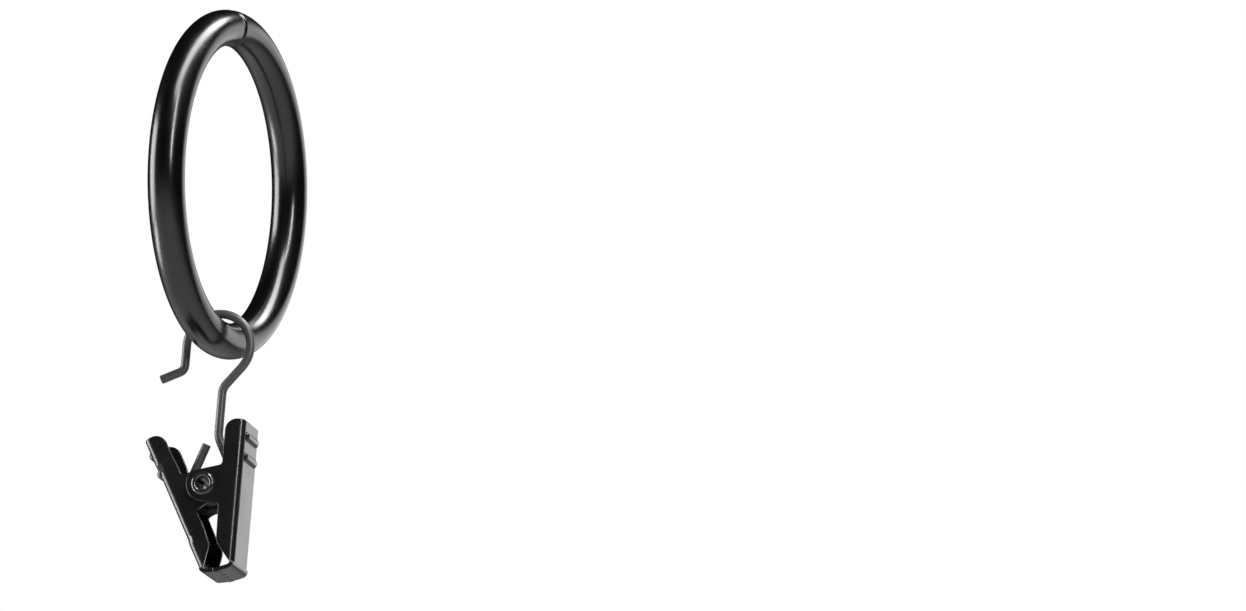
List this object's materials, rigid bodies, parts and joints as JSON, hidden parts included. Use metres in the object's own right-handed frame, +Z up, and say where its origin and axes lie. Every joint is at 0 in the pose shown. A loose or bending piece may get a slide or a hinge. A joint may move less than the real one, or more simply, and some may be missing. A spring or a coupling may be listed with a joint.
{
  "type": "curtain ring with clip",
  "caption": "Round wire curtain ring with a sprung, toothed clip that hangs from it on a bent wire hook.",
  "frame": {"origin": "centre of the ring", "axes": "+X along the ring's own axis, +Z up, the hook and the clip hang towards -Z, turned 8 degrees about Z from the ring"},
  "size_m": [0.0149, 0.048, 0.0788],
  "materials": {
    "ring_black": "satin black enamel on steel wire",
    "wire_black": "blackened steel wire, satin",
    "clip_black": "gloss black enamel on sheet steel",
    "rivet_black": "gloss black enamel on steel",
    "spring_steel": "drawn spring wire, darkened"
  },
  "bodies": {
    "ring": {"ring": "ring_black"},
    "hook": {"hook": "wire_black"},
    "clip": {"outer_jaw": "clip_black", "rivet": "rivet_black", "torsion_spring": "spring_steel"},
    "inner_jaw": {"inner_jaw": "clip_black"}
  },
  "joints": [
    {"name": "hook_swing", "type": "hinge", "parent": "ring", "child": "hook", "pos_m": [0, 0, -0.02155], "axis": [-0.1392, 0.9903, 0], "range_deg": [-90, 90]},
    {"name": "clip_swing", "type": "hinge", "parent": "hook", "child": "clip", "pos_m": [0.00099, 0.00014, -0.0426], "axis": [-0.1392, 0.9903, 0], "range_deg": [-15, 24]},
    {"name": "jaw_open", "type": "hinge", "parent": "clip", "child": "inner_jaw", "pos_m": [0.00099, 0.00014, -0.0426], "axis": [-0.1392, 0.9903, 0], "range_deg": [0, 30], "stiffness_Nm_per_rad": 0.01, "springref_deg": -68.75, "deforming": ["torsion_spring"]}
  ]
}
